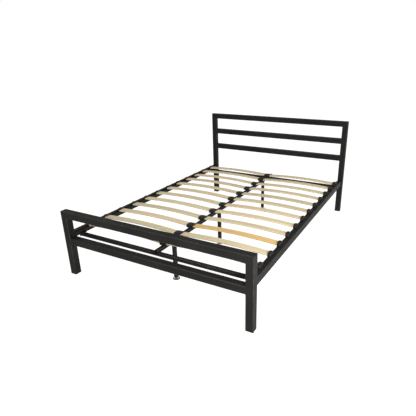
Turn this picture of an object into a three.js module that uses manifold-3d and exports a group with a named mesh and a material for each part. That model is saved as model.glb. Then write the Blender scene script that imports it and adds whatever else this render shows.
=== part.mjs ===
// Metal double bed frame with a sprung slat base.
// Millimetres, +Z up, floor at z = 0, +Y towards the headboard.
import * as THREE from 'three';
import { mergeVertices } from 'three/addons/utils/BufferGeometryUtils.js';
import Module from 'manifold-3d';

const wasm = await Module();
wasm.setup();

// ---- overall sizes ----
const BED_LENGTH = 2100;
const BED_WIDTH = 1450;
const HEADBOARD_HEIGHT = 885;
const FOOTBOARD_HEIGHT = 485;
const SIDE_RAIL_TOP = 322;

// ---- steel tubes ----
const BOARD_TUBE = 50;            // posts and rails of both boards, across the bed and upwards
const FOOT_TUBE_DEPTH = 50;
const HEAD_TUBE_DEPTH = 40;
const BOARD_WALL = 1.5;
const SIDE_RAIL_WIDTH = 25;
const SIDE_RAIL_HEIGHT = 50;
const SIDE_RAIL_INSET = 9;        // step from the post's outer face to the rail's
const SMALL_TUBE = 25;            // crossbars, centre rail and centre legs
const SMALL_WALL = 1.2;
const CORNER_RADIUS = 3;
const WELD_GAP = 0.3;

// ---- horizontal rails of the boards ----
const FOOT_LOWER_RAIL_DROP = 31;    // from the side rail's top to this rail's top
const HEAD_MIDDLE_RAIL_DROP = 160;  // from the headboard's top
const HEAD_LOWER_RAIL_DROP = 323;

// ---- slat supports ----
const SUPPORT_DROP = 11;          // from the side rail's top to the ledges and the centre rail
const LEDGE_WIDTH = 26;
const LEDGE_DROP = 20;
const LEDGE_THICKNESS = 3;
const CROSSBAR_SETBACK = 58;      // from each board's inner face to its crossbar
const CENTRE_RAIL_OVERHANG = 18;  // how far the centre rail runs past each crossbar

// ---- centre legs ----
const LEG_POSITIONS = [-0.382, -0.072, 0.37];   // from the middle, as a share of the inner length
const GLIDE_RADIUS = 26;
const GLIDE_HEIGHT = 7;
const GLIDE_WOUND_OUT = 7;        // open height between the glide and the insert
const STEM_RADIUS = 4;
const STEM_ENGAGEMENT = 26;
const THREAD_CLEARANCE = 0.25;
const INSERT_FLANGE = 3;
const INSERT_DEPTH = 24;
const FIT_CLEARANCE = 0.3;

// ---- plugs under the four posts ----
const PLUG_FLANGE = 4;
const PLUG_DEPTH = 22;
const PLUG_WALL = 3;

// ---- slats and their holders ----
const SLAT_ROWS = 12;
const FOOT_SLAT_SETBACK = 147;    // from each board's inner face to its nearest slat's middle
const HEAD_SLAT_SETBACK = 141;
const SLAT_WIDTH = 53;
const SLAT_THICKNESS = 10;
const SLAT_CROWN = 14;
const SLAT_SEGMENTS = 8;
const SLAT_MIDDLE_GAP = 20;       // between the two slats of a row
const SLAT_END_MARGIN = 4;        // from the slat's end to the side rail
const HOLDER_WALL = 3;
const HOLDER_FLOOR = 5;
const LEDGE_GRIP = 22;            // length of slat inside a ledge holder
const LEDGE_DOME = 16;            // height of the domed cap above the slat's end
const LEDGE_SHOULDER = 13.5;      // where the cap's sides turn into its dome
const CENTRE_GRIP = 18;
const CENTRE_DOME = 8.5;
const CENTRE_SHOULDER = 16;
const STRIP_WIDTH = 16;
const STRIP_THICKNESS = 1.2;

// ---- brackets that carry the crossbars ----
const BRACKET_THICKNESS = 3;
const BRACKET_WIDTH = 40;
const BRACKET_FOOT = 30;

// ---- sizes that follow ----
const POST_CENTRE_X = BED_WIDTH / 2 - BOARD_TUBE / 2;
const FOOT_CENTRE_Y = -BED_LENGTH / 2 + FOOT_TUBE_DEPTH / 2;
const HEAD_CENTRE_Y = BED_LENGTH / 2 - HEAD_TUBE_DEPTH / 2;
const FOOT_INNER_Y = -BED_LENGTH / 2 + FOOT_TUBE_DEPTH;
const HEAD_INNER_Y = BED_LENGTH / 2 - HEAD_TUBE_DEPTH;
const INNER_LENGTH = HEAD_INNER_Y - FOOT_INNER_Y;
const INNER_MIDDLE_Y = (HEAD_INNER_Y + FOOT_INNER_Y) / 2;
const RAIL_OUTER_X = BED_WIDTH / 2 - SIDE_RAIL_INSET;
const RAIL_INNER_X = RAIL_OUTER_X - SIDE_RAIL_WIDTH;
const RAIL_CENTRE_Z = SIDE_RAIL_TOP - SIDE_RAIL_HEIGHT / 2;
const SUPPORT_TOP = SIDE_RAIL_TOP - SUPPORT_DROP;
const CENTRE_RAIL_BOTTOM = SUPPORT_TOP - SMALL_TUBE;
const CROSSBAR_TOP = CENTRE_RAIL_BOTTOM - WELD_GAP;
const CROSSBAR_CENTRE_Z = CROSSBAR_TOP - SMALL_TUBE / 2;
const FOOT_CROSSBAR_Y = FOOT_INNER_Y + CROSSBAR_SETBACK + SMALL_TUBE / 2;
const HEAD_CROSSBAR_Y = HEAD_INNER_Y - CROSSBAR_SETBACK - SMALL_TUBE / 2;
const HOLDER_BOTTOM = SUPPORT_TOP + FIT_CLEARANCE;
const HOLDER_WIDTH = SLAT_WIDTH + 2 * HOLDER_WALL;
const SLAT_BOTTOM = HOLDER_BOTTOM + HOLDER_FLOOR + FIT_CLEARANCE;
const SLAT_INNER_X = SLAT_MIDDLE_GAP / 2;
const SLAT_OUTER_X = RAIL_INNER_X - SLAT_END_MARGIN;
const SLAT_PITCH = (INNER_LENGTH - FOOT_SLAT_SETBACK - HEAD_SLAT_SETBACK) / (SLAT_ROWS - 1);

// ---- finishes ----
const FINISH = {
  steel: [0x1d1e20, 0.48, 0.35],
  plug: [0x141414, 0.6, 0],
  holder: [0x121212, 0.55, 0],
  glide: [0x1a1a1b, 0.5, 0],
  beech: [0xd3bd93, 0.55, 0],
  honey: [0xd2a364, 0.55, 0],
};

const bed = new THREE.Group();
bed.name = 'metal_bed_frame';

function addPiece(name, geometry, finish, x = 0, y = 0, z = 0) {
  const [color, roughness, metalness] = FINISH[finish];
  const material = new THREE.MeshStandardMaterial({ color, roughness, metalness });
  const mesh = new THREE.Mesh(geometry, material);
  mesh.name = name;
  mesh.position.set(x, y, z);
  bed.add(mesh);
  return mesh;
}

// ---- solids ----
function toSolid(geometry) {
  const plain = geometry.clone();
  plain.deleteAttribute('normal');
  plain.deleteAttribute('uv');
  const merged = mergeVertices(plain, 1e-4);
  return new wasm.Manifold(new wasm.Mesh({
    numProp: 3,
    vertProperties: new Float32Array(merged.attributes.position.array),
    triVerts: new Uint32Array(merged.index.array),
  }));
}

function toGeometry(solid) {
  const mesh = solid.getMesh();
  const geometry = new THREE.BufferGeometry();
  geometry.setAttribute('position', new THREE.BufferAttribute(new Float32Array(mesh.vertProperties), 3));
  geometry.setIndex(new THREE.BufferAttribute(new Uint32Array(mesh.triVerts), 1));
  geometry.computeVertexNormals();
  return geometry;
}

function box(width, depth, height, x = 0, y = 0, z = 0) {
  return new THREE.BoxGeometry(width, depth, height).translate(x, y, z);
}

function cylinder(radius, height, sides, z) {
  return new THREE.CylinderGeometry(radius, radius, height, sides)
    .rotateX(Math.PI / 2).translate(0, 0, z + height / 2);
}

function roundedRectangle(width, height, radius, outline = new THREE.Shape()) {
  const right = width / 2 - radius;
  const top = height / 2 - radius;
  outline.absarc(right, top, radius, 0, Math.PI / 2);
  outline.absarc(-right, top, radius, Math.PI / 2, Math.PI);
  outline.absarc(-right, -top, radius, Math.PI, 1.5 * Math.PI);
  outline.absarc(right, -top, radius, 1.5 * Math.PI, 2 * Math.PI);
  outline.closePath();
  return outline;
}

// An open square tube along +Z. A mitre is the slope of the end across the tube's width.
function tube(width, depth, length, wall, startMitre = 0, endMitre = 0) {
  const outline = roundedRectangle(width, depth, CORNER_RADIUS);
  const bore = roundedRectangle(width - 2 * wall, depth - 2 * wall, CORNER_RADIUS - wall, new THREE.Path());
  outline.holes.push(bore);
  const geometry = new THREE.ExtrudeGeometry(outline, {
    depth: length, bevelEnabled: false, curveSegments: 2,
  });
  const points = geometry.attributes.position;
  for (let i = 0; i < points.count; i += 1) {
    const slope = points.getZ(i) > length / 2 ? endMitre : startMitre;
    points.setZ(i, points.getZ(i) + slope * points.getX(i));
  }
  geometry.computeVertexNormals();
  return geometry;
}

// The same tube lying along X or Y, centred on its length.
function tubeAlongX(height, depth, length, wall, mitre = 0) {
  return tube(height, depth, length, wall, mitre, -mitre)
    .rotateY(Math.PI / 2).translate(-length / 2, 0, 0);
}

function tubeAlongY(width, height, length, wall) {
  return tube(width, height, length, wall).rotateX(-Math.PI / 2).translate(0, -length / 2, 0);
}

// ---- headboard and footboard: mitred top corners, open feet closed by plugs ----
const SIDES = [['left', -1], ['right', 1]];
const MITRE_TRIM = WELD_GAP / Math.SQRT2;
const BETWEEN_POSTS = BED_WIDTH - 2 * BOARD_TUBE - 2 * WELD_GAP;

function addBoard(prefix, height, tubeDepth, centreY, lowerRails) {
  const postLength = height - BOARD_TUBE / 2 - MITRE_TRIM - PLUG_FLANGE - WELD_GAP;
  for (const [side, sign] of SIDES) {
    addPiece(`${prefix}_post_${side}`, tube(BOARD_TUBE, tubeDepth, postLength, BOARD_WALL, 0, sign),
      'steel', sign * POST_CENTRE_X, centreY, PLUG_FLANGE + WELD_GAP);
    addPiece(`${prefix}_foot_plug_${side}`, postPlug(tubeDepth), 'plug', sign * POST_CENTRE_X, centreY, 0);
  }
  addPiece(`${prefix}_top_rail`,
    tubeAlongX(BOARD_TUBE, tubeDepth, 2 * POST_CENTRE_X - 2 * MITRE_TRIM, BOARD_WALL, 1),
    'steel', 0, centreY, height - BOARD_TUBE / 2);
  for (const [name, top] of lowerRails) {
    addPiece(`${prefix}_${name}`, tubeAlongX(BOARD_TUBE, tubeDepth, BETWEEN_POSTS, BOARD_WALL),
      'steel', 0, centreY, top - BOARD_TUBE / 2);
  }
}

function postPlug(tubeDepth) {
  const inset = 2 * (BOARD_WALL + FIT_CLEARANCE);
  const flange = new THREE.ExtrudeGeometry(roundedRectangle(BOARD_TUBE, tubeDepth, CORNER_RADIUS),
    { depth: PLUG_FLANGE, bevelEnabled: false, curveSegments: 2 });
  const body = box(BOARD_TUBE - inset, tubeDepth - inset, PLUG_DEPTH + 1,
    0, 0, PLUG_FLANGE + PLUG_DEPTH / 2 - 0.5);
  const core = box(BOARD_TUBE - inset - 2 * PLUG_WALL, tubeDepth - inset - 2 * PLUG_WALL, PLUG_DEPTH,
    0, 0, PLUG_FLANGE + PLUG_DEPTH / 2 + 1);
  const reliefs = CORNER_RADIUS - BOARD_WALL;
  const chamfered = toSolid(body).intersect(toSolid(new THREE.ExtrudeGeometry(
    roundedRectangle(BOARD_TUBE - inset, tubeDepth - inset, reliefs),
    { depth: PLUG_FLANGE + PLUG_DEPTH + 1, bevelEnabled: false, curveSegments: 1 })));
  return toGeometry(toSolid(flange).add(chamfered).subtract(toSolid(core)));
}

addBoard('headboard', HEADBOARD_HEIGHT, HEAD_TUBE_DEPTH, HEAD_CENTRE_Y, [
  ['middle_rail', HEADBOARD_HEIGHT - HEAD_MIDDLE_RAIL_DROP],
  ['lower_rail', HEADBOARD_HEIGHT - HEAD_LOWER_RAIL_DROP],
]);
addBoard('footboard', FOOTBOARD_HEIGHT, FOOT_TUBE_DEPTH, FOOT_CENTRE_Y, [
  ['lower_rail', SIDE_RAIL_TOP - FOOT_LOWER_RAIL_DROP],
]);

// ---- side rails with the angle ledges that carry the slats ----
const RAIL_LENGTH = INNER_LENGTH - 2 * WELD_GAP;
const LEDGE_LENGTH = INNER_LENGTH - 8;

function ledge(sign) {
  const shelf = box(LEDGE_WIDTH, LEDGE_LENGTH, LEDGE_THICKNESS,
    -sign * LEDGE_WIDTH / 2, 0, -LEDGE_THICKNESS / 2);
  const web = box(LEDGE_THICKNESS, LEDGE_LENGTH, LEDGE_DROP,
    -sign * LEDGE_THICKNESS / 2, 0, -LEDGE_DROP / 2);
  return toGeometry(toSolid(shelf).add(toSolid(web)));
}

for (const [side, sign] of SIDES) {
  addPiece(`side_rail_${side}`,
    tubeAlongY(SIDE_RAIL_WIDTH, SIDE_RAIL_HEIGHT, RAIL_LENGTH, BOARD_WALL),
    'steel', sign * (RAIL_INNER_X + RAIL_OUTER_X) / 2, INNER_MIDDLE_Y, RAIL_CENTRE_Z);
  addPiece(`slat_ledge_${side}`, ledge(sign), 'steel',
    sign * (RAIL_INNER_X - WELD_GAP), INNER_MIDDLE_Y, SUPPORT_TOP);
}

// ---- crossbars hung from the side rails, and the centre rail that rests on them ----
const CROSSBARS = [['foot', FOOT_CROSSBAR_Y], ['head', HEAD_CROSSBAR_Y]];
const BRACKET_OUTER_X = RAIL_INNER_X - WELD_GAP;
const CROSSBAR_HALF = BRACKET_OUTER_X - BRACKET_THICKNESS - WELD_GAP;
const BRACKET_TOP = CROSSBAR_TOP + WELD_GAP + BRACKET_THICKNESS;

// An L: its upright leaf hangs on the side rail, its foot lies over the crossbar's end.
function crossbarBracket(sign) {
  const height = BRACKET_THICKNESS + WELD_GAP + SMALL_TUBE;
  const leaf = box(BRACKET_THICKNESS, BRACKET_WIDTH, height,
    -sign * BRACKET_THICKNESS / 2, 0, -height / 2);
  const foot = box(BRACKET_FOOT, BRACKET_WIDTH, BRACKET_THICKNESS,
    -sign * BRACKET_FOOT / 2, 0, -BRACKET_THICKNESS / 2);
  return toGeometry(toSolid(leaf).add(toSolid(foot)));
}

for (const [end, y] of CROSSBARS) {
  addPiece(`crossbar_${end}`, tubeAlongX(SMALL_TUBE, SMALL_TUBE, 2 * CROSSBAR_HALF, SMALL_WALL),
    'steel', 0, y, CROSSBAR_CENTRE_Z);
  for (const [side, sign] of SIDES) {
    addPiece(`crossbar_bracket_${end}_${side}`, crossbarBracket(sign), 'steel',
      sign * BRACKET_OUTER_X, y, BRACKET_TOP);
  }
}

const CENTRE_RAIL_START = FOOT_CROSSBAR_Y - SMALL_TUBE / 2 - CENTRE_RAIL_OVERHANG;
const CENTRE_RAIL_END = HEAD_CROSSBAR_Y + SMALL_TUBE / 2 + CENTRE_RAIL_OVERHANG;
addPiece('centre_rail', tubeAlongY(SMALL_TUBE, SMALL_TUBE, CENTRE_RAIL_END - CENTRE_RAIL_START, SMALL_WALL),
  'steel', 0, (CENTRE_RAIL_START + CENTRE_RAIL_END) / 2, SUPPORT_TOP - SMALL_TUBE / 2);

// ---- centre legs: tube, threaded insert, screw glide ----
const INSERT_BOTTOM = GLIDE_HEIGHT + GLIDE_WOUND_OUT;
const LEG_BOTTOM = INSERT_BOTTOM + INSERT_FLANGE + WELD_GAP;
const LEG_LENGTH = CENTRE_RAIL_BOTTOM - WELD_GAP - LEG_BOTTOM;

function legInsert() {
  const bodySize = SMALL_TUBE - 2 * (SMALL_WALL + FIT_CLEARANCE);
  const flange = box(SMALL_TUBE, SMALL_TUBE, INSERT_FLANGE, 0, 0, INSERT_FLANGE / 2);
  const body = new THREE.ExtrudeGeometry(roundedRectangle(bodySize, bodySize, CORNER_RADIUS - SMALL_WALL),
    { depth: INSERT_FLANGE + INSERT_DEPTH, bevelEnabled: false, curveSegments: 1 });
  const bore = cylinder(STEM_RADIUS + THREAD_CLEARANCE, INSERT_FLANGE + INSERT_DEPTH + 2, 16, -1);
  return toGeometry(toSolid(flange).add(toSolid(body)).subtract(toSolid(bore)));
}

function legGlide() {
  const stemTop = INSERT_BOTTOM + INSERT_FLANGE + STEM_ENGAGEMENT;
  const profile = [
    [0, 0], [GLIDE_RADIUS - 1.5, 0], [GLIDE_RADIUS, 1.5], [GLIDE_RADIUS, GLIDE_HEIGHT / 2],
    [GLIDE_RADIUS * 0.55, GLIDE_HEIGHT], [STEM_RADIUS, GLIDE_HEIGHT], [STEM_RADIUS, stemTop], [0, stemTop],
  ].map(([radius, z]) => new THREE.Vector2(radius, z));
  return new THREE.LatheGeometry(profile, 16).rotateX(Math.PI / 2);
}

['foot', 'middle', 'head'].forEach((name, i) => {
  const y = INNER_MIDDLE_Y + LEG_POSITIONS[i] * INNER_LENGTH;
  addPiece(`centre_leg_${name}`, tube(SMALL_TUBE, SMALL_TUBE, LEG_LENGTH, SMALL_WALL),
    'steel', 0, y, LEG_BOTTOM);
  addPiece(`leg_insert_${name}`, legInsert(), 'plug', 0, y, INSERT_BOTTOM);
  addPiece(`leg_glide_${name}`, legGlide(), 'glide', 0, y, 0);
});

// ---- slats: crowned beech strips in two columns ----
const SLAT_LENGTH = SLAT_OUTER_X - SLAT_INNER_X;
const SLAT_CENTRE_X = (SLAT_OUTER_X + SLAT_INNER_X) / 2;

function slatRise(t) {
  return SLAT_CROWN * (1 - (2 * t - 1) ** 2);
}

function slatGeometry() {
  const stations = Array.from({ length: SLAT_SEGMENTS + 1 }, (_, i) => i / SLAT_SEGMENTS);
  const along = (t) => (t - 0.5) * SLAT_LENGTH;
  const side = new THREE.Shape([
    ...stations.map((t) => new THREE.Vector2(along(t), slatRise(t))),
    ...stations.reverse().map((t) => new THREE.Vector2(along(t), slatRise(t) + SLAT_THICKNESS)),
  ]);
  return new THREE.ExtrudeGeometry(side, { depth: SLAT_WIDTH, bevelEnabled: false })
    .rotateX(Math.PI / 2).translate(0, SLAT_WIDTH / 2, 0);
}

const slatRowY = (row) => FOOT_INNER_Y + FOOT_SLAT_SETBACK + row * SLAT_PITCH;

// ---- slat holders: one pocket per slat end, joined by a thin strip on each support ----
function holderStrip(innerX, outerX, stripX, pockets, grip, dome, shoulder) {
  const pocketHeight = SLAT_THICKNESS + slatRise(grip / SLAT_LENGTH) + 2 * FIT_CLEARANCE;
  const pocketCentreZ = SLAT_BOTTOM - FIT_CLEARANCE + pocketHeight / 2;
  const height = HOLDER_FLOOR + SLAT_THICKNESS + dome;
  const arch = new THREE.Shape();
  const half = HOLDER_WIDTH / 2;
  arch.moveTo(-half, 0);
  arch.lineTo(half, 0);
  arch.lineTo(half, shoulder);
  arch.absellipse(0, shoulder, half, height - shoulder, 0, Math.PI);
  arch.closePath();
  const length = outerX - innerX;
  const shell = new THREE.ExtrudeGeometry(arch, { depth: length, bevelEnabled: false, curveSegments: 4 })
    .rotateX(Math.PI / 2).rotateZ(Math.PI / 2).translate(innerX, 0, HOLDER_BOTTOM);
  let holder = toSolid(shell);
  for (const [start, end] of pockets) {
    holder = holder.subtract(toSolid(box(end - start, SLAT_WIDTH + 2 * FIT_CLEARANCE, pocketHeight,
      (start + end) / 2, 0, pocketCentreZ)));
  }
  const span = slatRowY(SLAT_ROWS - 1) - slatRowY(0);
  let strip = toSolid(box(STRIP_WIDTH, span, STRIP_THICKNESS,
    stripX, slatRowY(0) + span / 2, HOLDER_BOTTOM + STRIP_THICKNESS / 2));
  for (let row = 0; row < SLAT_ROWS; row += 1) {
    strip = strip.add(holder.translate([0, slatRowY(row), 0]));
  }
  return toGeometry(strip);
}

const PAST_MOUTH = 1;
const HOLDER_OUTER_X = RAIL_INNER_X - FIT_CLEARANCE;
const LEDGE_MOUTH_X = SLAT_OUTER_X - LEDGE_GRIP;
const LEDGE_MIDDLE_X = RAIL_INNER_X - LEDGE_WIDTH / 2;
const LEDGE_POCKET = [LEDGE_MOUTH_X - PAST_MOUTH, SLAT_OUTER_X + FIT_CLEARANCE];
addPiece('slat_holders_left', holderStrip(-HOLDER_OUTER_X, -LEDGE_MOUTH_X, -LEDGE_MIDDLE_X,
  [[-LEDGE_POCKET[1], -LEDGE_POCKET[0]]], LEDGE_GRIP, LEDGE_DOME, LEDGE_SHOULDER), 'holder');
addPiece('slat_holders_right', holderStrip(LEDGE_MOUTH_X, HOLDER_OUTER_X, LEDGE_MIDDLE_X,
  [LEDGE_POCKET], LEDGE_GRIP, LEDGE_DOME, LEDGE_SHOULDER), 'holder');
const CENTRE_MOUTH_X = SLAT_INNER_X + CENTRE_GRIP;
const CENTRE_POCKET = [SLAT_INNER_X - FIT_CLEARANCE, CENTRE_MOUTH_X + PAST_MOUTH];
addPiece('slat_holders_centre', holderStrip(-CENTRE_MOUTH_X, CENTRE_MOUTH_X, 0,
  [[-CENTRE_POCKET[1], -CENTRE_POCKET[0]], CENTRE_POCKET],
  CENTRE_GRIP, CENTRE_DOME, CENTRE_SHOULDER), 'holder');

for (const [side, sign] of SIDES) {
  for (let row = 0; row < SLAT_ROWS; row += 1) {
    const number = String(row + 1).padStart(2, '0');
    const finish = side === 'right' && row === 2 ? 'honey' : 'beech';
    addPiece(`slat_${side}_${number}`, slatGeometry(), finish,
      sign * SLAT_CENTRE_X, slatRowY(row), SLAT_BOTTOM);
  }
}

export default bed;
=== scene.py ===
"""Metal bed frame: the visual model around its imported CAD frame. Metres, +Z up, +Y to the headboard."""

import math
import random

import bpy
from mathutils import Matrix, Vector


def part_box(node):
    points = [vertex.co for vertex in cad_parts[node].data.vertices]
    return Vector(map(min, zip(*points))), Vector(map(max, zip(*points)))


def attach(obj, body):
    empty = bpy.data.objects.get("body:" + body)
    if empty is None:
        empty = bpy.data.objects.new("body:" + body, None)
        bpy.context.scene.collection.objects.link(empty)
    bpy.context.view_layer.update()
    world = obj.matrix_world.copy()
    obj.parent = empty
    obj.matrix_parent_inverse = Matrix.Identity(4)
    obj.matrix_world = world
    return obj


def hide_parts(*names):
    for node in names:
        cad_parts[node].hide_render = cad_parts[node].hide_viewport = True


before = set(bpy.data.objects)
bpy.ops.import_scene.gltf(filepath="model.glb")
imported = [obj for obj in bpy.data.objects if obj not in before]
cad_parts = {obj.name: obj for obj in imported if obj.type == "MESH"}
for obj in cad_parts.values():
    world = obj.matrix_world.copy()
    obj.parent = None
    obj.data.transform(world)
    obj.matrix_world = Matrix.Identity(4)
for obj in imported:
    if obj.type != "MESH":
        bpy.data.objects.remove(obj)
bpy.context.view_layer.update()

MM = 0.001
SIDES = (("left", -1), ("right", 1))
ROWS = 12                                # slats in each column
BOARD_WALL, SMALL_WALL = 1.5 * MM, 1.2 * MM
PLATE_THICKNESS = 3 * MM                 # ledges and brackets
random.seed(20)


# ---------------------------------------------------------------- camera and studio
CAMERA_PLACE = (1.4522, -2.6594, 1.4438)
CAMERA_YAW, CAMERA_PITCH, CAMERA_ROLL = -0.48896, 0.37109, -0.01131     # radians, fitted to the photo
CAMERA_LENS, CAMERA_SHIFT = 33.40, -0.05606


def make_camera():
    """A camera at the photo's place, from its turn about Z, its tilt below the horizon and its roll."""
    yaw, pitch, roll = CAMERA_YAW, CAMERA_PITCH, CAMERA_ROLL
    forward = Vector((math.sin(yaw) * math.cos(pitch), math.cos(yaw) * math.cos(pitch), -math.sin(pitch)))
    right = forward.cross(Vector((0, 0, 1))).normalized()
    up = right.cross(forward)
    x_axis = math.cos(roll) * right + math.sin(roll) * up
    y_axis = -math.sin(roll) * right + math.cos(roll) * up
    data = bpy.data.cameras.new("camera")
    data.sensor_width = 36
    data.lens = CAMERA_LENS
    data.shift_x = CAMERA_SHIFT
    data.clip_end = 200
    camera = bpy.data.objects.new("camera", data)
    turn = Matrix((x_axis, y_axis, -forward)).transposed().to_4x4()
    camera.matrix_world = Matrix.Translation(CAMERA_PLACE) @ turn
    bpy.context.scene.collection.objects.link(camera)
    bpy.context.scene.camera = camera


def area_light(name, place, target, size, power, color):
    """A round soft lamp that faces its target."""
    data = bpy.data.lights.new(name, "AREA")
    data.shape = "DISK"
    data.size = size
    data.energy = power
    data.color = color
    lamp = bpy.data.objects.new(name, data)
    direction = Vector(target) - Vector(place)
    turn = direction.to_track_quat("-Z", "Y").to_matrix().to_4x4()
    lamp.matrix_world = Matrix.Translation(place) @ turn
    bpy.context.scene.collection.objects.link(lamp)


# White walls near the horizon, a dimmer band above them, a bright soft ceiling: (height, brightness).
SKY_BANDS = ((0.0, 1.0), (0.24, 1.0), (0.40, 0.55), (0.80, 0.55), (0.92, 1.0))


def sky_dome(tree):
    """Lights the bed by the height of each direction above the floor."""
    height = tree.nodes.new("ShaderNodeSeparateXYZ")
    tree.links.new(tree.nodes.new("ShaderNodeTexCoord").outputs["Generated"], height.inputs[0])
    brightest = max(level for _, level in SKY_BANDS)
    ramp = tree.nodes.new("ShaderNodeValToRGB")
    tree.links.new(height.outputs["Z"], ramp.inputs["Fac"])
    while len(ramp.color_ramp.elements) < len(SKY_BANDS):
        ramp.color_ramp.elements.new(0.5)
    for element, (place, level) in zip(ramp.color_ramp.elements, SKY_BANDS):
        element.position = place
        element.color = (level / brightest, level / brightest, level / brightest, 1)
    background = tree.nodes["Background"]
    tree.links.new(ramp.outputs["Color"], background.inputs["Color"])
    background.inputs["Strength"].default_value = brightest


FLOOR_REACH, FLOOR_SIDES = 60.0, 96
FLOOR_DARK, FLOOR_PALE = (0.34, 0.34, 0.34), (0.36, 0.36, 0.36)
FLOOR_GLOW = 0.84                        # brings the floor to the photo's plain white


def make_studio():
    """The sky, one warm key light at the foot's right, and a round floor that glows a little."""
    world = bpy.data.worlds.new("studio")
    bpy.context.scene.world = world
    world.use_nodes = True
    sky_dome(world.node_tree)
    area_light("key", place=(2.5, -2.6, 1.5), target=(0.3, -0.6, 0.3), size=1.3, power=165,
               color=(1.0, 0.97, 0.93))
    bpy.context.scene.view_settings.view_transform = "Standard"
    bpy.context.scene.view_settings.look = "None"

    mesh = bpy.data.meshes.new("floor")
    turns = [2 * math.pi * i / FLOOR_SIDES for i in range(FLOOR_SIDES)]
    rim = [(FLOOR_REACH * math.cos(a), FLOOR_REACH * math.sin(a), 0) for a in turns]
    mesh.from_pydata(rim, [], [tuple(range(FLOOR_SIDES))])
    floor = bpy.data.objects.new("floor", mesh)
    bpy.context.scene.collection.objects.link(floor)
    paint = Paint("floor_paint")
    tone = paint.ramp(paint.noise(1.2, detail=2), (0.30, FLOOR_DARK), (0.70, FLOOR_PALE))
    paint.shader(tone, roughness=0.9, specular=0.0)
    paint.principled.inputs["Emission Color"].default_value = (1, 1, 1, 1)
    paint.principled.inputs["Emission Strength"].default_value = FLOOR_GLOW
    mesh.materials.append(paint.material)


# ---------------------------------------------------------------- node materials
class Paint:
    """A small builder of procedural node materials. Numbers and sockets can both be plugged in."""

    def __init__(self, name):
        self.material = bpy.data.materials.new(name)
        self.material.use_nodes = True
        self.tree = self.material.node_tree
        self.principled = self.tree.nodes["Principled BSDF"]
        self.place = self.node("ShaderNodeTexCoord").outputs["Object"]

    def node(self, kind, **settings):
        made = self.tree.nodes.new(kind)
        for key, value in settings.items():
            setattr(made, key, value)
        return made

    def plug(self, source, socket):
        if isinstance(source, bpy.types.NodeSocket):
            self.tree.links.new(source, socket)
        else:
            socket.default_value = source

    def attribute(self, name, output="Fac"):
        return self.node("ShaderNodeAttribute", attribute_name=name).outputs[output]

    def scaled(self, vector, scale):
        made = self.node("ShaderNodeMapping")
        self.plug(vector, made.inputs["Vector"])
        made.inputs["Scale"].default_value = scale
        return made.outputs["Vector"]

    def noise(self, scale, detail=3.0, rough=0.55, vector=None, warp=0.0):
        made = self.node("ShaderNodeTexNoise")
        self.plug(vector or self.place, made.inputs["Vector"])
        made.inputs["Scale"].default_value = scale
        made.inputs["Detail"].default_value = detail
        made.inputs["Roughness"].default_value = rough
        made.inputs["Distortion"].default_value = warp
        return made.outputs["Fac"]

    def math(self, operation, a, b=0.0):
        made = self.node("ShaderNodeMath", operation=operation)
        self.plug(a, made.inputs[0])
        self.plug(b, made.inputs[1])
        return made.outputs[0]

    def span(self, value, low, high, to_low=0.0, to_high=1.0):
        """Takes low..high to to_low..to_high, and holds it there beyond."""
        made = self.node("ShaderNodeMapRange")
        self.plug(value, made.inputs["Value"])
        limits = {"From Min": low, "From Max": high, "To Min": to_low, "To Max": to_high}
        for socket, number in limits.items():
            made.inputs[socket].default_value = number
        return made.outputs["Result"]

    def ramp(self, value, *stops):
        made = self.node("ShaderNodeValToRGB")
        self.plug(value, made.inputs["Fac"])
        band = made.color_ramp
        while len(band.elements) < len(stops):
            band.elements.new(0.5)
        for element, (place, color) in zip(band.elements, stops):
            element.position = place
            element.color = (*color, 1)
        return made.outputs["Color"]

    def mix(self, amount, a, b, blend="MIX"):
        """Mixes two colours. The Mix node's colour sockets are its inputs 6 and 7 and its output 2."""
        made = self.node("ShaderNodeMix", data_type="RGBA", blend_type=blend)
        self.plug(amount, made.inputs[0])
        for source, socket in ((a, made.inputs[6]), (b, made.inputs[7])):
            self.plug(source if isinstance(source, bpy.types.NodeSocket) else (*source, 1), socket)
        return made.outputs[2]

    def bump(self, height, distance, strength, normal=None):
        made = self.node("ShaderNodeBump")
        made.inputs["Distance"].default_value = distance
        made.inputs["Strength"].default_value = strength
        self.plug(height, made.inputs["Height"])
        if normal:
            self.plug(normal, made.inputs["Normal"])
        return made.outputs["Normal"]

    def shader(self, color, roughness, normal=None, specular=0.5, metallic=0.0):
        inputs = self.principled.inputs
        self.plug(color, inputs["Base Color"])
        self.plug(roughness, inputs["Roughness"])
        inputs["Specular IOR Level"].default_value = specular
        inputs["Metallic"].default_value = metallic
        if normal:
            self.plug(normal, inputs["Normal"])


def scale_color(color, factor):
    return tuple(factor * c for c in color)


def powder_coat():
    """Charcoal powder coat: fine orange peel, speckle, thinner and shinier along worn edges."""
    dark, light = (0.0086, 0.0085, 0.0082), (0.0140, 0.0137, 0.0132)
    fleck, worn = (0.023, 0.022, 0.021), (0.045, 0.044, 0.042)
    p = Paint("powder_coat_charcoal")
    cloud = p.noise(4.5, detail=4)
    speckle = p.noise(1400, detail=2)
    smear = p.noise(1.0, detail=4, vector=p.scaled(p.place, (9, 30, 9)))
    color = p.ramp(cloud, (0.30, dark), (0.72, light))
    color = p.mix(p.span(speckle, 0.55, 0.72, 0, 0.35), color, fleck)
    chips = p.span(p.noise(38, detail=5, rough=0.7), 0.42, 0.66)
    wear = p.math("ADD", 0.25, p.math("MULTIPLY", chips, 0.6))
    edge_mask = p.math("MULTIPLY", p.attribute("edge"), wear)
    color = p.mix(edge_mask, color, worn)
    roughness = p.span(smear, 0.3, 0.7, 0.40, 0.52)
    roughness = p.math("SUBTRACT", roughness, p.math("MULTIPLY", edge_mask, 0.10))
    peel = p.bump(p.noise(620, detail=2), 0.00016, 0.55)
    peel = p.bump(p.noise(26, detail=2), 0.0006, 0.18, peel)
    p.shader(color, roughness, peel, specular=0.035)
    return p.material


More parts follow.
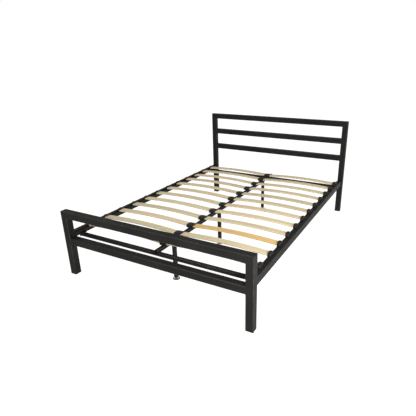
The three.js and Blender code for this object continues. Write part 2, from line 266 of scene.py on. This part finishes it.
def moulded_plastic(name, dark, light, roughness):
    """Moulded plastic with a spark-eroded texture, faint flow marks and rubbed edges."""
    p = Paint(name)
    flow = p.noise(1.0, detail=3, vector=p.scaled(p.place, (40, 160, 60)), warp=0.6)
    color = p.ramp(flow, (0.30, dark), (0.75, light))
    rub = p.math("MULTIPLY", p.attribute("edge"), p.span(p.noise(120, detail=4), 0.40, 0.68, 0.15, 0.8))
    color = p.mix(rub, color, scale_color(light, 2.6))
    grain = p.noise(2300, detail=2)
    rough = p.span(flow, 0.3, 0.7, roughness - 0.05, roughness + 0.07)
    p.shader(color, rough, p.bump(grain, 0.00010, 0.5), specular=0.22)
    return p.material


def zinc_plate():
    """Bright zinc plating, a little cloudy."""
    p = Paint("zinc_plate")
    color = p.ramp(p.noise(180, detail=4), (0.3, (0.55, 0.56, 0.57)), (0.7, (0.78, 0.78, 0.77)))
    roughness = p.span(p.noise(400), 0.3, 0.7, 0.28, 0.46)
    p.shader(color, roughness, p.bump(p.noise(1500), 0.00005, 0.4), metallic=1.0)
    return p.material


SLAT_PLIES = 6.0


def beech(name, pale, mid, dark):
    """Laminated beech: long grain, dark ray flecks, glue lines between plies on the long edges."""
    p = Paint(name)
    grain = p.attribute("grain", "Vector")
    tone = p.attribute("tone")
    figure = p.noise(1.0, detail=4, rough=0.6, vector=p.scaled(grain, (2.2, 55, 40)), warp=0.5)
    fibre = p.noise(1.0, detail=3, rough=0.7, vector=p.scaled(grain, (28, 900, 900)))
    color = p.ramp(figure, (0.28, dark), (0.50, mid), (0.74, pale))
    color = p.mix(p.span(fibre, 0.35, 0.70, 0.0, 0.22), color, scale_color(dark, 0.62), "MULTIPLY")
    fleck_seed = p.noise(1.0, detail=1, vector=p.scaled(grain, (260, 1500, 1500)))
    flecks = p.span(fleck_seed, 0.66, 0.74, 0.0, 0.55)
    color = p.mix(flecks, color, scale_color(dark, 0.45))
    warm = p.mix(p.span(tone, 0.0, 1.0), (0.95, 1.0, 0.92), (1.03, 0.975, 0.93))
    color = p.mix(1.0, color, warm, "MULTIPLY")
    bright = p.node("ShaderNodeHueSaturation")
    p.plug(color, bright.inputs["Color"])
    p.plug(p.attribute("value"), bright.inputs["Value"])
    color = bright.outputs["Color"]
    ply = p.math("SINE", p.math("MULTIPLY", p.attribute("lamina"), 2 * math.pi * SLAT_PLIES))
    glue = p.span(ply, -1.0, -0.55, 0.5, 0.0)
    color = p.mix(glue, color, scale_color(dark, 0.35))
    color = p.mix(p.math("MULTIPLY", p.attribute("end"), 0.55), color, scale_color(dark, 0.5))
    roughness = p.span(fibre, 0.3, 0.7, 0.46, 0.60)
    normal = p.bump(fibre, 0.00012, 0.5)
    normal = p.bump(flecks, 0.00010, -0.4, normal)
    p.shader(color, roughness, normal, specular=0.35)
    return p.material


# ---------------------------------------------------------------- mesh building
class Shell:
    """Vertices, faces and the edge-wear value of each vertex, gathered ring by ring, in the row frame."""

    def __init__(self):
        self.verts, self.faces, self.edge, self.flat = [], [], [], []

    def ring(self, points, edges):
        """Adds a closed ring of points and gives their vertex numbers."""
        start = len(self.verts)
        self.verts += points
        self.edge += edges
        return range(start, start + len(points))

    def bridge(self, a, b, flat=None):
        """Faces between two rings; flat says which of them are shaded flat."""
        n = len(a)
        for i in range(n):
            j = (i + 1) % n
            if flat and flat[i]:
                self.flat.append(len(self.faces))
            self.faces.append((a[i], a[j], b[j], b[i]))

    def bridge_all(self, rows, flat=None):
        """Faces between each ring and the next."""
        for a, b in zip(rows, rows[1:]):
            self.bridge(a, b, flat)

    def cap(self, ring, up=True):
        self.flat.append(len(self.faces))
        self.faces.append(tuple(ring) if up else tuple(reversed(ring)))

    def turn_over(self):
        """Faces every polygon the other way."""
        self.faces = [tuple(reversed(f)) for f in self.faces]

    def piece(self, name, material, slot, replaces=(), body="bed", **layers):
        """Links the mesh, hangs it on its body's empty and hides the CAD parts that it replaces. A layer
        is a value per vertex.
        """
        mesh = bpy.data.meshes.new(name)
        mesh.from_pydata([tuple(v) for v in self.verts], [], self.faces)
        mesh.validate(clean_customdata=False)
        flat = set(self.flat)
        for polygon in mesh.polygons:
            polygon.use_smooth = polygon.index not in flat
        for layer, values in {"edge": self.edge, **layers}.items():
            if isinstance(values[0], Vector):
                stored = mesh.attributes.new(layer, "FLOAT_VECTOR", "POINT")
                stored.data.foreach_set("vector", [c for v in values for c in v])
            else:
                stored = mesh.attributes.new(layer, "FLOAT", "POINT")
                stored.data.foreach_set("value", values)
        mesh.materials.append(material)
        piece = bpy.data.objects.new(name, mesh)
        bpy.context.scene.collection.objects.link(piece)
        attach(piece, body)
        if replaces:
            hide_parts(*replaces)


def circle(radius, count):
    """Points of a circle at equal angles, from +X."""
    turns = [2 * math.pi * i / count for i in range(count)]
    return [(radius * math.cos(a), radius * math.sin(a)) for a in turns]


def rounded_rectangle(width, height, radius, steps=5, guard=1.5 * MM):
    """Points round a rounded rectangle, the wear of each, and which sides between them are flat.

    A guard point on either side of each corner keeps the smooth shading off the flat faces, and the wear
    is greatest in the middle of a corner."""
    points, edges, flats = [], [], []
    cx, cy = width / 2 - radius, height / 2 - radius
    for turn, (sx, sy) in enumerate(((1, 1), (-1, 1), (-1, -1), (1, -1))):
        angle = turn * math.pi / 2
        centre = Vector((sx * cx, sy * cy))
        first = centre + radius * Vector((math.cos(angle), math.sin(angle)))
        last = centre + radius * Vector((math.cos(angle + math.pi / 2), math.sin(angle + math.pi / 2)))
        back = Vector((math.sin(angle), -math.cos(angle)))
        ahead = Vector((math.cos(angle + math.pi), math.sin(angle + math.pi)))
        points.append(first + guard * back)
        edges.append(0.0)
        flats.append(True)
        for i in range(steps + 1):
            t = i / steps
            a = angle + t * math.pi / 2
            points.append(centre + radius * Vector((math.cos(a), math.sin(a))))
            edges.append(0.45 + 0.55 * math.sin(math.pi * t))
            flats.append(i == steps)
        points.append(last + guard * ahead)
        edges.append(0.0)
        flats.append(True)
    return points, edges, flats


TUBE_RADIUS = 3.2 * MM
TUBE_MIN_RADIUS = 0.6 * MM               # least corner radius inside the tube
MITRE_ROUND = 2.6 * MM
MITRE_RINGS = [9 * MM, 3.2 * MM, 2.4 * MM, 1.7 * MM, 1.1 * MM, 0.55 * MM, 0.0]


def rounded_corner(u, v):
    """Pulls a point at distances u and v inside the two outer faces onto a rounded outer corner."""
    r = MITRE_ROUND
    if u < r and v < r:
        reach = math.hypot(r - u, r - v)
        if reach > r:
            return r - (r - u) * r / reach, r - (r - v) * r / reach
    return u, v


def tube(node, to_world, width, depth, start, end, wall, start_slope=0.0, end_slope=0.0):
    """A hollow tube along local Z, in a node's place. A slope of 1 or -1 mitres that end.

    Local X runs to the mitre's outer face; to_world turns local (x, y, z) into the row frame."""
    outer, wear, flats = rounded_rectangle(width, depth, TUBE_RADIUS)
    inner, _, inner_flats = rounded_rectangle(width - 2 * wall, depth - 2 * wall,
                                              max(TUBE_RADIUS - wall, TUBE_MIN_RADIUS))
    shell = Shell()

    def rings(profile, values, is_outer):
        start_steps = sorted(MITRE_RINGS) if start_slope else [0.0]
        end_steps = MITRE_RINGS if end_slope else [0.0]
        stations = [(start, start_slope, step, True) for step in start_steps]
        stations += [(end, end_slope, -step, False) for step in end_steps]
        made = []
        for base, slope, step, at_start in stations:
            points = []
            for x, y in profile:
                z = base + slope * x + step
                if slope and is_outer:
                    tip = base + slope * width / 2
                    u, v = rounded_corner(width / 2 - x, (z - tip) if at_start else (tip - z))
                    x = width / 2 - u
                    z = tip + v if at_start else tip - v
                points.append(to_world(x, y, z))
            made.append(shell.ring(points, list(values)))
        return made

    outside = rings(outer, wear, True)
    shell.bridge_all(outside, flats)
    inside = rings(inner, [0.0] * len(inner), False)
    for a, b in zip(inside, inside[1:]):
        shell.bridge(b, a, inner_flats)
    shell.bridge(inside[0], outside[0], [True] * len(outer))
    shell.bridge(outside[-1], inside[-1], [True] * len(outer))
    origin = to_world(0, 0, 0)
    across, deep, along = (to_world(*axis) - origin for axis in ((1, 0, 0), (0, 1, 0), (0, 0, 1)))
    if across.cross(deep).dot(along) < 0:
        shell.turn_over()
    shell.piece(node, STEEL, "powder_coated_steel", [node])


def centre_of(node):
    """The middle and the size of a node's box."""
    low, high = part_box(node)
    return (low + high) / 2, high - low


def board(prefix, lower_rails):
    """Posts and top rail meet in ground mitres; the lower rails butt against the posts."""
    low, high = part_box(f"{prefix}_top_rail")
    top, depth = high.z, high.y - low.y
    y = (low.y + high.y) / 2
    width = high.z - low.z
    half = high.x - width / 2
    for side, sign in SIDES:
        post = f"{prefix}_post_{side}"
        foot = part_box(post)[0].z
        tube(post, lambda px, py, pz, s=sign: Vector((s * (half + px), y + py, pz)),
             width, depth, foot, top - width / 2, BOARD_WALL, end_slope=1.0)
    tube(f"{prefix}_top_rail", lambda px, py, pz: Vector((pz, y + py, top - width / 2 + px)),
         width, depth, -half, half, BOARD_WALL, start_slope=-1.0, end_slope=1.0)
    inner = half - width / 2
    joints = []
    for name in lower_rails:
        node = f"{prefix}_{name}"
        middle, size = centre_of(node)
        tube(node, lambda px, py, pz, m=middle: Vector((pz, m.y + py, m.z + px)),
             size.z, size.y, -inner, inner, BOARD_WALL)
        joints += [(middle, -inner), (middle, inner)]
    welds(prefix, joints, width, depth)


WELD_BEAD, WELD_CORNER = 2.1 * MM, 3 * MM
WELD_RINGS, WELD_SIDES = 150, 8
WELD_WEAR = 0.25
RIPPLE_MEAN, RIPPLE_WAVE, RIPPLE_NOISE = 0.80, 0.07, 0.05      # shares of the bead
RIPPLE_TURN = 2.1                        # radians from one ring to the next


def even_path(outline, count):
    """Points at equal distances round a closed outline."""
    closed = outline + outline[:1]
    lengths = [0.0]
    for a, b in zip(closed, closed[1:]):
        lengths.append(lengths[-1] + (b - a).length)
    path, k = [], 0
    for i in range(count):
        s = lengths[-1] * i / count
        while lengths[k + 1] < s:
            k += 1
        t = (s - lengths[k]) / max(lengths[k + 1] - lengths[k], 1e-9)
        path.append(closed[k].lerp(closed[k + 1], t))
    return path


def welds(prefix, joints, height, depth):
    """A rippled fillet round each butt joint, flush where the two tubes are level."""
    shell = Shell()
    outline, _, _ = rounded_rectangle(height, depth - 2 * WELD_BEAD, WELD_CORNER, steps=4)
    path = even_path(outline, WELD_RINGS)
    for middle, x in joints:
        rows = []
        for i, point in enumerate(path):
            tangent = (path[(i + 1) % WELD_RINGS] - path[i - 1]).normalized()
            outward = Vector((tangent.y, -tangent.x))
            ripple = RIPPLE_MEAN + RIPPLE_WAVE * math.sin(i * RIPPLE_TURN) + RIPPLE_NOISE * random.random()
            size = WELD_BEAD * ripple
            points = []
            for out, along in circle(size, WELD_SIDES):
                local = point + outward * out
                points.append(Vector((x + along, middle.y + local.y, middle.z + local.x)))
            rows.append(shell.ring(points, [WELD_WEAR] * WELD_SIDES))
        shell.bridge_all(rows + rows[:1])
    shell.piece(f"{prefix}_welds", STEEL, "powder_coated_steel")


# ---------------------------------------------------------------- steel pieces
PLATE_WEAR = 0.35


def angle_profile(corner_x, corner_z, toward_x, toward_z, wide, tall):
    """An L with rounded toes and a rounded bend; its outer corner is at (corner_x, corner_z)."""
    def arc(cx, cz, r, a0, a1, steps=5):
        turns = [a0 + (a1 - a0) * i / steps for i in range(steps + 1)]
        return [(cx + r * math.cos(a), cz + r * math.sin(a)) for a in turns]

    thick, quarter = PLATE_THICKNESS, math.pi / 2
    bend, toe = 0.8 * thick, 0.35 * thick
    local = arc(thick, thick, thick, 2 * quarter, 3 * quarter)
    local += arc(wide - toe, toe, toe, 3 * quarter, 4 * quarter)
    local += arc(wide - toe, thick - toe, toe, 0, quarter)
    local += arc(thick + bend, thick + bend, bend, 3 * quarter, 2 * quarter)
    local += arc(thick - toe, tall - toe, toe, 0, quarter)
    local += arc(toe, tall - toe, toe, quarter, 2 * quarter)
    points = [(corner_x + toward_x * x, corner_z + toward_z * z) for x, z in local]
    if toward_x * toward_z < 0:
        points.reverse()
    return points


def bent_angle(node, sign):
    """A bent steel angle along Y that fills the node's box, its corner at the top outer edge."""
    low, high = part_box(node)
    corner = high.x if sign > 0 else low.x
    profile = angle_profile(corner, high.z, -sign, -1, high.x - low.x, high.z - low.z)
    shell = Shell()
    ends = [shell.ring([Vector((x, y, z)) for x, z in profile], [PLATE_WEAR] * len(profile))
            for y in (low.y, high.y)]
    shell.bridge(ends[1], ends[0])
    shell.cap(ends[0])
    shell.cap(ends[1], up=False)
    shell.piece(node, STEEL, "powder_coated_steel", [node])


def tube_along_y(node, wall):
    """A square-ended tube along Y that fills the node's box."""
    middle, size = centre_of(node)
    tube(node, lambda px, py, pz: Vector((middle.x - py, pz, middle.z + px)),
         size.z, size.x, middle.y - size.y / 2, middle.y + size.y / 2, wall)


def side_rails():
    """The side rails and the ledges inside them."""
    for side, sign in SIDES:
        tube_along_y(f"side_rail_{side}", BOARD_WALL)
        bent_angle(f"slat_ledge_{side}", sign)


def crossbars():
    """The crossbars, the brackets at their ends, and the centre rail that rests on them."""
    for end in ("foot", "head"):
        node = f"crossbar_{end}"
        middle, size = centre_of(node)
        tube(node, lambda px, py, pz, m=middle: Vector((pz, m.y + py, m.z + px)),
             size.z, size.y, -size.x / 2, size.x / 2, SMALL_WALL)
        for side, sign in SIDES:
            bent_angle(f"crossbar_bracket_{end}_{side}", sign)
    tube_along_y("centre_rail", SMALL_WALL)


def lathe(name, profile, centre, sides, material, slot, replaces, body):
    """Turns (radius, z, wear) rows round a vertical axis. The first and last rows are on the axis."""
    shell = Shell()
    rows = [shell.ring([centre + Vector((x, y, z)) for x, y in circle(radius, sides)], [wear] * sides)
            for radius, z, wear in profile[1:-1]]
    shell.bridge_all(rows)
    for row, (_, z, wear), up in ((rows[0], profile[0], False), (rows[-1], profile[-1], True)):
        hub = shell.ring([centre + Vector((0, 0, z))], [wear])[0]
        for i in range(sides):
            j = (i + 1) % sides
            shell.faces.append((row[i], row[j], hub) if up else (row[j], row[i], hub))
    shell.piece(name, material, slot, replaces, body)


def centre_legs():
    """The three legs, each with its insert and its screw glide."""
    for name in ("foot", "middle", "head"):
        node = f"centre_leg_{name}"
        middle, size = centre_of(node)
        tube(node, lambda px, py, pz, m=middle: Vector((m.x + px, m.y + py, pz)),
             size.x, size.y, middle.z - size.z / 2, middle.z + size.z / 2, SMALL_WALL)
        leg_insert(name)
        leg_glide(name)


INSERT_POINTS = 48
INSERT_BORE = 4.25 * MM                  # radius
INSERT_FLANGE, INSERT_BODY_INSET, INSERT_CHAMFER = 3 * MM, 3 * MM, 0.5 * MM
SQUARENESS = 14.0                        # the power of the inserts' superellipse


def rounded_square(size):
    """Points of a rounded square at equal angles, so that they pair with the points of a circle."""
    half, out = size / 2, []
    for i in range(INSERT_POINTS):
        a = 2 * math.pi * i / INSERT_POINTS
        c, s = math.cos(a), math.sin(a)
        reach = half / ((abs(c) ** SQUARENESS + abs(s) ** SQUARENESS) ** (1 / SQUARENESS))
        out.append((reach * c, reach * s))
    return out


def leg_insert(name):
    """A plastic plug with a flange, bored through for the glide's stem."""
    node = f"leg_insert_{name}"
    low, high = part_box(node)
    centre = (low + high) / 2
    flange = high.x - low.x
    body = flange - INSERT_BODY_INSET
    hole, shell, c = circle(INSERT_BORE, INSERT_POINTS), Shell(), INSERT_CHAMFER
    shoulder = low.z + INSERT_FLANGE

    def row(points, z, wear):
        places = [Vector((centre.x + x, centre.y + y, z)) for x, y in points]
        return shell.ring(places, [wear] * INSERT_POINTS)

    rows = [row(hole, low.z, 0.2),
            row(rounded_square(flange - 4 * c), low.z, 0.4),
            row(rounded_square(flange), low.z + c, 0.9),
            row(rounded_square(flange), shoulder - c, 0.9),
            row(rounded_square(flange - 2 * c), shoulder, 0.5),
            row(rounded_square(body), shoulder, 0.0),
            row(rounded_square(body), high.z - c, 0.0),
            row(rounded_square(body - 2 * c), high.z, 0.5),
            row(hole, high.z, 0.0)]
    for a, b in zip(rows, rows[1:] + rows[:1]):
        shell.bridge(a, b, [a is rows[2] or a is rows[5]] * INSERT_POINTS)
    shell.piece(node, BLACK_PLASTIC, "leg_insert", [node])


GLIDE_SIDES, STEM_SIDES = 64, 24
THREAD_PITCH, THREAD_DEPTH, THREAD_CREST = 1.25 * MM, 0.62 * MM, 4.0 * MM
STEM_FOOT, STEM_TIP_RADIUS = 6.0 * MM, 3.0 * MM
STEM_WEAR = 0.3


def leg_glide(name):
    """A plastic disc, the zinc plate on it and the threaded stem, all on the glide's own body."""
    node = f"leg_glide_{name}"
    low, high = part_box(node)
    centre = (low + high) / 2
    centre.z = 0
    outer = (high.x - low.x) / 2
    base = [(0, 0.0, 0.0), (outer - 3 * MM, 0.0, 0.1), (outer - 1.6 * MM, 0.15 * MM, 0.3),
            (outer - 0.6 * MM, 0.7 * MM, 0.8), (outer, 1.8 * MM, 1.0), (outer, 3.0 * MM, 0.7),
            (outer - 0.4 * MM, 3.8 * MM, 1.0), (outer - 1.5 * MM, 4.2 * MM, 0.6),
            (outer - 2.6 * MM, 4.2 * MM, 0.2), (outer - 2.8 * MM, 3.9 * MM, 0.1), (0, 3.9 * MM, 0)]
    plate = [(0, 3.95 * MM, 0.0), (outer - 3.4 * MM, 3.95 * MM, 0.1),
             (outer - 3.0 * MM, 4.3 * MM, 0.8), (outer - 3.6 * MM, 4.8 * MM, 0.7),
             (0.66 * outer, 5.3 * MM, 0.1), (0.50 * outer, 5.9 * MM, 0.3),
             (0.42 * outer, 6.7 * MM, 0.7), (0.38 * outer, 7.0 * MM, 0.4),
             (4.6 * MM, 7.0 * MM, 0.1), (4.4 * MM, 6.6 * MM, 0.1), (0, 6.6 * MM, 0)]
    body = f"glide_{name}"
    lathe(node, base, centre, GLIDE_SIDES, GLIDE, "leg_glide", [node], body)
    lathe(f"leg_glide_plate_{name}", plate, centre, GLIDE_SIDES, ZINC, "leg_glide", [node], body)

    length = high.z - STEM_FOOT
    count = int(length / (THREAD_PITCH / 4))
    shell, rows = Shell(), []
    for k in range(count + 1):
        z = STEM_FOOT + length * k / count
        points = []
        for i in range(STEM_SIDES):
            a = 2 * math.pi * i / STEM_SIDES
            phase = ((z - STEM_FOOT) / THREAD_PITCH - i / STEM_SIDES) % 1.0
            r = STEM_TIP_RADIUS if k == count else THREAD_CREST - THREAD_DEPTH * abs(2 * phase - 1)
            points.append(Vector((centre.x + r * math.cos(a), centre.y + r * math.sin(a), z)))
        rows.append(shell.ring(points, [STEM_WEAR] * STEM_SIDES))
    shell.bridge_all(rows)
    shell.cap(rows[0], up=False)
    shell.cap(rows[-1])
    shell.piece(f"leg_glide_stem_{name}", ZINC, "leg_glide", [node], body)


PLUG_FLANGE = 4 * MM
PLUG_CORNER, PLUG_MIN_CORNER = 3.2, 1.0  # mm, like the insets below


def foot_plug(node):
    """A plastic plug with a rounded flange under the post and a body inside it."""
    low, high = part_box(node)
    centre = (low + high) / 2
    width, depth = high.x - low.x, high.y - low.y
    sections = ((3.0, 0.0, 0.2), (1.0, 0.25 * MM, 0.6), (0.25, 1.0 * MM, 1.0), (0.0, 2.0 * MM, 0.6),
                (0.0, PLUG_FLANGE, 0.5), (1.9, PLUG_FLANGE, 0.0), (1.9, high.z - 1 * MM, 0.0),
                (2.6, high.z, 0.0))
    shell, rows = Shell(), []
    for inset, z, wear in sections:
        corner = max(PLUG_CORNER - inset, PLUG_MIN_CORNER) * MM
        outline, _, _ = rounded_rectangle(width - 2 * inset * MM, depth - 2 * inset * MM, corner)
        points = [Vector((centre.x + x, centre.y + y, z)) for x, y in outline]
        rows.append(shell.ring(points, [wear] * len(points)))
    shell.bridge_all(rows)
    shell.cap(rows[0], up=False)
    shell.cap(rows[-1])
    shell.piece(node, BLACK_PLASTIC, "foot_plug", [node])


def foot_plugs():
    """One under each of the four posts."""
    for prefix in ("headboard", "footboard"):
        for side, _ in SIDES:
            foot_plug(f"{prefix}_foot_plug_{side}")


# ---------------------------------------------------------------- slats
HONEY_SLAT = ("right", 3)
SLAT_THICKNESS, SLAT_ROUND, SLAT_GUARD = 10 * MM, 3.4 * MM, 2.5 * MM
SLAT_TRIM = 0.6 * MM                     # chamfer round each end
SLAT_STEPS, SLAT_END_STEP = 40, 0.0015   # steps along a slat; the chamfer's share of its length
GRAIN_REACH = 9                          # how far apart in the figure the slats are cut, in metres


def trimmed(distance, trim):
    """Brings a distance from the middle line that much nearer to it."""
    return distance - math.copysign(min(trim, abs(distance)), distance)


def slat(side, row):
    """A crowned strip of laminated beech with rounded long edges."""
    node = f"slat_{side}_{row:02d}"
    low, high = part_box(node)
    width, thick = high.y - low.y, SLAT_THICKNESS
    crown = (high.z - low.z) - thick
    middle_y = (low.y + high.y) / 2
    outline, _, _ = rounded_rectangle(width, thick, SLAT_ROUND, guard=SLAT_GUARD)
    shell, rows = Shell(), []
    grain, lamina, end = [], [], []
    shift = Vector([random.uniform(-GRAIN_REACH, GRAIN_REACH) for _ in range(3)])
    between = [k / SLAT_STEPS for k in range(1, SLAT_STEPS)]
    places = [0.0, SLAT_END_STEP] + between + [1 - SLAT_END_STEP, 1.0]
    for t in places:
        at_end = t in (0.0, 1.0)
        trim = SLAT_TRIM if at_end else 0.0
        x = low.x + t * (high.x - low.x)
        rise = crown * (1 - (2 * t - 1) ** 2)
        points = []
        for u, v in outline:
            z = low.z + thick / 2 + rise + trimmed(v, trim)
            points.append(Vector((x, middle_y + trimmed(u, trim), z)))
            grain.append(Vector((x, u, v)) + shift)
            lamina.append(0.5 + v / thick)
            end.append(1.0 if at_end else 0.0)
        rows.append(shell.ring(points, [0.0] * len(points)))
    for a, b in zip(rows, rows[1:]):
        shell.bridge(b, a)
    shell.cap(rows[0], up=False)
    shell.cap(rows[-1])
    shell.turn_over()
    honey = (side, row) == HONEY_SLAT
    count = len(shell.verts)
    tone = 0.5 if honey else random.random()
    value = 1.0 if honey else random.uniform(0.93, 1.06)
    shell.piece(node, HONEY if honey else BEECH, "honey_beech" if honey else "beech", [node],
                grain=grain, lamina=lamina, end=end, tone=[tone] * count, value=[value] * count)


# ---------------------------------------------------------------- slat holders
REACH_HALVINGS = 26


def arch_reach(angle, half, shoulder, top, centre_z):
    """Distance from (0, centre_z) to a domed arch whose base is on z = 0, found by halving."""
    c, s = math.cos(angle), math.sin(angle)
    low, high = 0.0, 2 * max(half, top)

    def inside(r):
        y, z = r * c, centre_z + r * s
        if z < 0 or abs(y) > half:
            return False
        if z <= shoulder:
            return True
        return (y / half) ** 2 + ((z - shoulder) / (top - shoulder)) ** 2 <= 1

    for _ in range(REACH_HALVINGS):
        middle = (low + high) / 2
        if inside(middle):
            low = middle
        else:
            high = middle
    return low


HOLDER_HALF = 29.5 * MM
LEDGE_CAP = (13.5 * MM, 31.0 * MM)       # shoulder and top of a ledge holder
CENTRE_CAP = (16.0 * MM, 23.5 * MM)      # and of a centre one
POCKET_HALF, POCKET_BOTTOM, POCKET_TOP = 26.8 * MM, 5 * MM, 17.4 * MM
POCKET_MIDDLE = 11 * MM
LEDGE_HOLDER_LENGTH, LEDGE_POCKET_DEPTH = 25.7 * MM, 22.2 * MM
CENTRE_HOLDER_HALF, CENTRE_POCKET_DEPTH = 28.0 * MM, 18.2 * MM
HOLDER_ANGLES = 72
LIP = 0.2 * MM                           # how far the lip stands out of the mouth


def pocket_reach(angle):
    """Distance from the pocket's middle to its walls."""
    c, s = math.cos(angle), math.sin(angle)
    tiny = 1e-9
    reach = 1.0
    if abs(c) > tiny:
        reach = min(reach, POCKET_HALF / abs(c))
    if s > tiny:
        reach = min(reach, (POCKET_TOP - POCKET_MIDDLE) / s)
    if s < -tiny:
        reach = min(reach, (POCKET_MIDDLE - POCKET_BOTTOM) / -s)
    return reach


def holder_angles(shoulder):
    """Even angles round a holder, and the angles of its shoulders' and its pocket's corners."""
    angles = [2 * math.pi * i / HOLDER_ANGLES for i in range(HOLDER_ANGLES)]
    for half, low, high in ((HOLDER_HALF, 0, shoulder), (POCKET_HALF, POCKET_BOTTOM, POCKET_TOP)):
        for y in (-half, half):
            for z in (low, high):
                angles.append(math.atan2(z - POCKET_MIDDLE, y) % (2 * math.pi))
    return sorted(set(round(a, 5) for a in angles))


def holder_rings(shell, spot, cap, stations, angles):
    """Arch sections along the holder: (distance, share of the width, share of the height, wear)."""
    shoulder, top = cap
    rows = []
    for x, wide, tall, wear in stations:
        middle = min(POCKET_MIDDLE, 0.6 * top * tall)
        points = []
        for a in angles:
            r = arch_reach(a, HOLDER_HALF * wide, shoulder * tall, top * tall, middle)
            points.append(spot(x, r * math.cos(a), middle + r * math.sin(a)))
        rows.append(shell.ring(points, [wear] * len(angles)))
    return rows


def pocket(shell, spot, mouth, inward, depth, angles, outer_row):
    """The open mouth with its lip, and the pocket behind it. Inward is the way in along x."""
    rows = [outer_row]
    sections = ((mouth - inward * LIP, 1.3 * MM, 0.9), (mouth, 0.8 * MM, 0.4),
                (mouth + inward * 1.0 * MM, 0.1 * MM, 0.1), (mouth + inward * depth, 0.0, 0.0))
    for x, grow, wear in sections:
        points = []
        for a in angles:
            r = pocket_reach(a) + grow
            points.append(spot(x, r * math.cos(a), POCKET_MIDDLE + r * math.sin(a)))
        rows.append(shell.ring(points, [wear] * len(angles)))
    return rows


def single_holder(shell, y, base, back, sign):
    """One cap on a ledge. The back is against the side rail at x = back; the mouth faces the middle."""
    def spot(x, v, z):
        return Vector((back - sign * x, y + v, base + z))

    angles = holder_angles(LEDGE_CAP[0])
    length = LEDGE_HOLDER_LENGTH
    stations = [(0.0, 0.50, 0.58, 0.3), (0.4 * MM, 0.62, 0.68, 0.8), (1.3 * MM, 0.76, 0.79, 0.5),
                (3.0 * MM, 0.92, 0.88, 0.3), (5.5 * MM, 0.985, 0.94, 0.2), (9 * MM, 1.0, 0.98, 0.1),
                (14 * MM, 1.0, 1.0, 0.1), (20 * MM, 1.0, 1.0, 0.1), (length - 1.6 * MM, 1.0, 0.985, 0.4),
                (length - 0.5 * MM, 0.985, 0.965, 1.0)]
    rows = holder_rings(shell, spot, LEDGE_CAP, stations, angles)
    mouth_rows = pocket(shell, spot, length - LIP, -1, LEDGE_POCKET_DEPTH, angles, rows[-1])
    shell.bridge_all(rows)
    shell.bridge_all(mouth_rows)
    shell.cap(rows[0], up=False)
    shell.cap(mouth_rows[-1])
    if sign > 0:
        shell.turn_over()


def double_holder(shell, y, base):
    """The cap on the centre rail: one low dome with a mouth each way."""
    def spot(x, v, z):
        return Vector((x, y + v, base + z))

    angles = holder_angles(CENTRE_CAP[0])
    half = CENTRE_HOLDER_HALF
    side = [(half - 0.5 * MM, 0.985, 0.94, 1.0), (half - 1.6 * MM, 1.0, 0.955, 0.4),
            (20 * MM, 1.0, 0.97, 0.1), (13 * MM, 1.0, 0.985, 0.1), (6 * MM, 1.0, 0.997, 0.1)]
    mirrored = [(-x, wide, tall, wear) for x, wide, tall, wear in side]
    stations = mirrored + [(0, 1.0, 1.0, 0.1)] + side[::-1]
    rows = holder_rings(shell, spot, CENTRE_CAP, stations, angles)
    left = pocket(shell, spot, -half + LIP, 1, CENTRE_POCKET_DEPTH, angles, rows[0])
    right = pocket(shell, spot, half - LIP, -1, CENTRE_POCKET_DEPTH, angles, rows[-1])
    shell.bridge_all(rows)
    shell.bridge_all(right)
    for a, b in zip(left, left[1:]):
        shell.bridge(b, a)
    shell.cap(left[-1], up=False)
    shell.cap(right[-1])


def slat_holders():
    """For each row of slats a cap on each ledge and one on the centre rail."""
    for row in range(1, ROWS + 1):
        low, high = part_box(f"slat_left_{row:02d}")
        y = (low.y + high.y) / 2
        for side, sign in SIDES:
            strip = f"slat_holders_{side}"
            strip_low, strip_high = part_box(strip)
            shell = Shell()
            single_holder(shell, y, strip_low.z, strip_high.x if sign > 0 else strip_low.x, sign)
            shell.piece(f"slat_holder_{side}_{row:02d}", HOLDER, "slat_holder", [strip])
        shell = Shell()
        double_holder(shell, y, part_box("slat_holders_centre")[0].z)
        shell.piece(f"slat_holder_centre_{row:02d}", HOLDER, "slat_holder", ["slat_holders_centre"])


# ---------------------------------------------------------------- the whole bed
make_camera()
make_studio()
STEEL = powder_coat()
BLACK_PLASTIC = moulded_plastic("black_polyethylene",
                                (0.0075, 0.0075, 0.0080), (0.0140, 0.0140, 0.0145), 0.55)
GLIDE = moulded_plastic("glide_plastic", (0.014, 0.014, 0.015), (0.026, 0.026, 0.027), 0.45)
HOLDER = moulded_plastic("holder_polypropylene",
                         (0.0050, 0.0048, 0.0046), (0.0100, 0.0096, 0.0092), 0.50)
ZINC = zinc_plate()
BEECH = beech("laminated_beech", (0.660, 0.568, 0.398), (0.600, 0.504, 0.340), (0.510, 0.408, 0.262))
HONEY = beech("honey_beech", (0.690, 0.487, 0.222), (0.615, 0.418, 0.176), (0.512, 0.326, 0.124))

board("headboard", ["middle_rail", "lower_rail"])
board("footboard", ["lower_rail"])
side_rails()
crossbars()
centre_legs()
foot_plugs()
for side_name, _ in SIDES:
    for row_number in range(1, ROWS + 1):
        slat(side_name, row_number)
slat_holders()
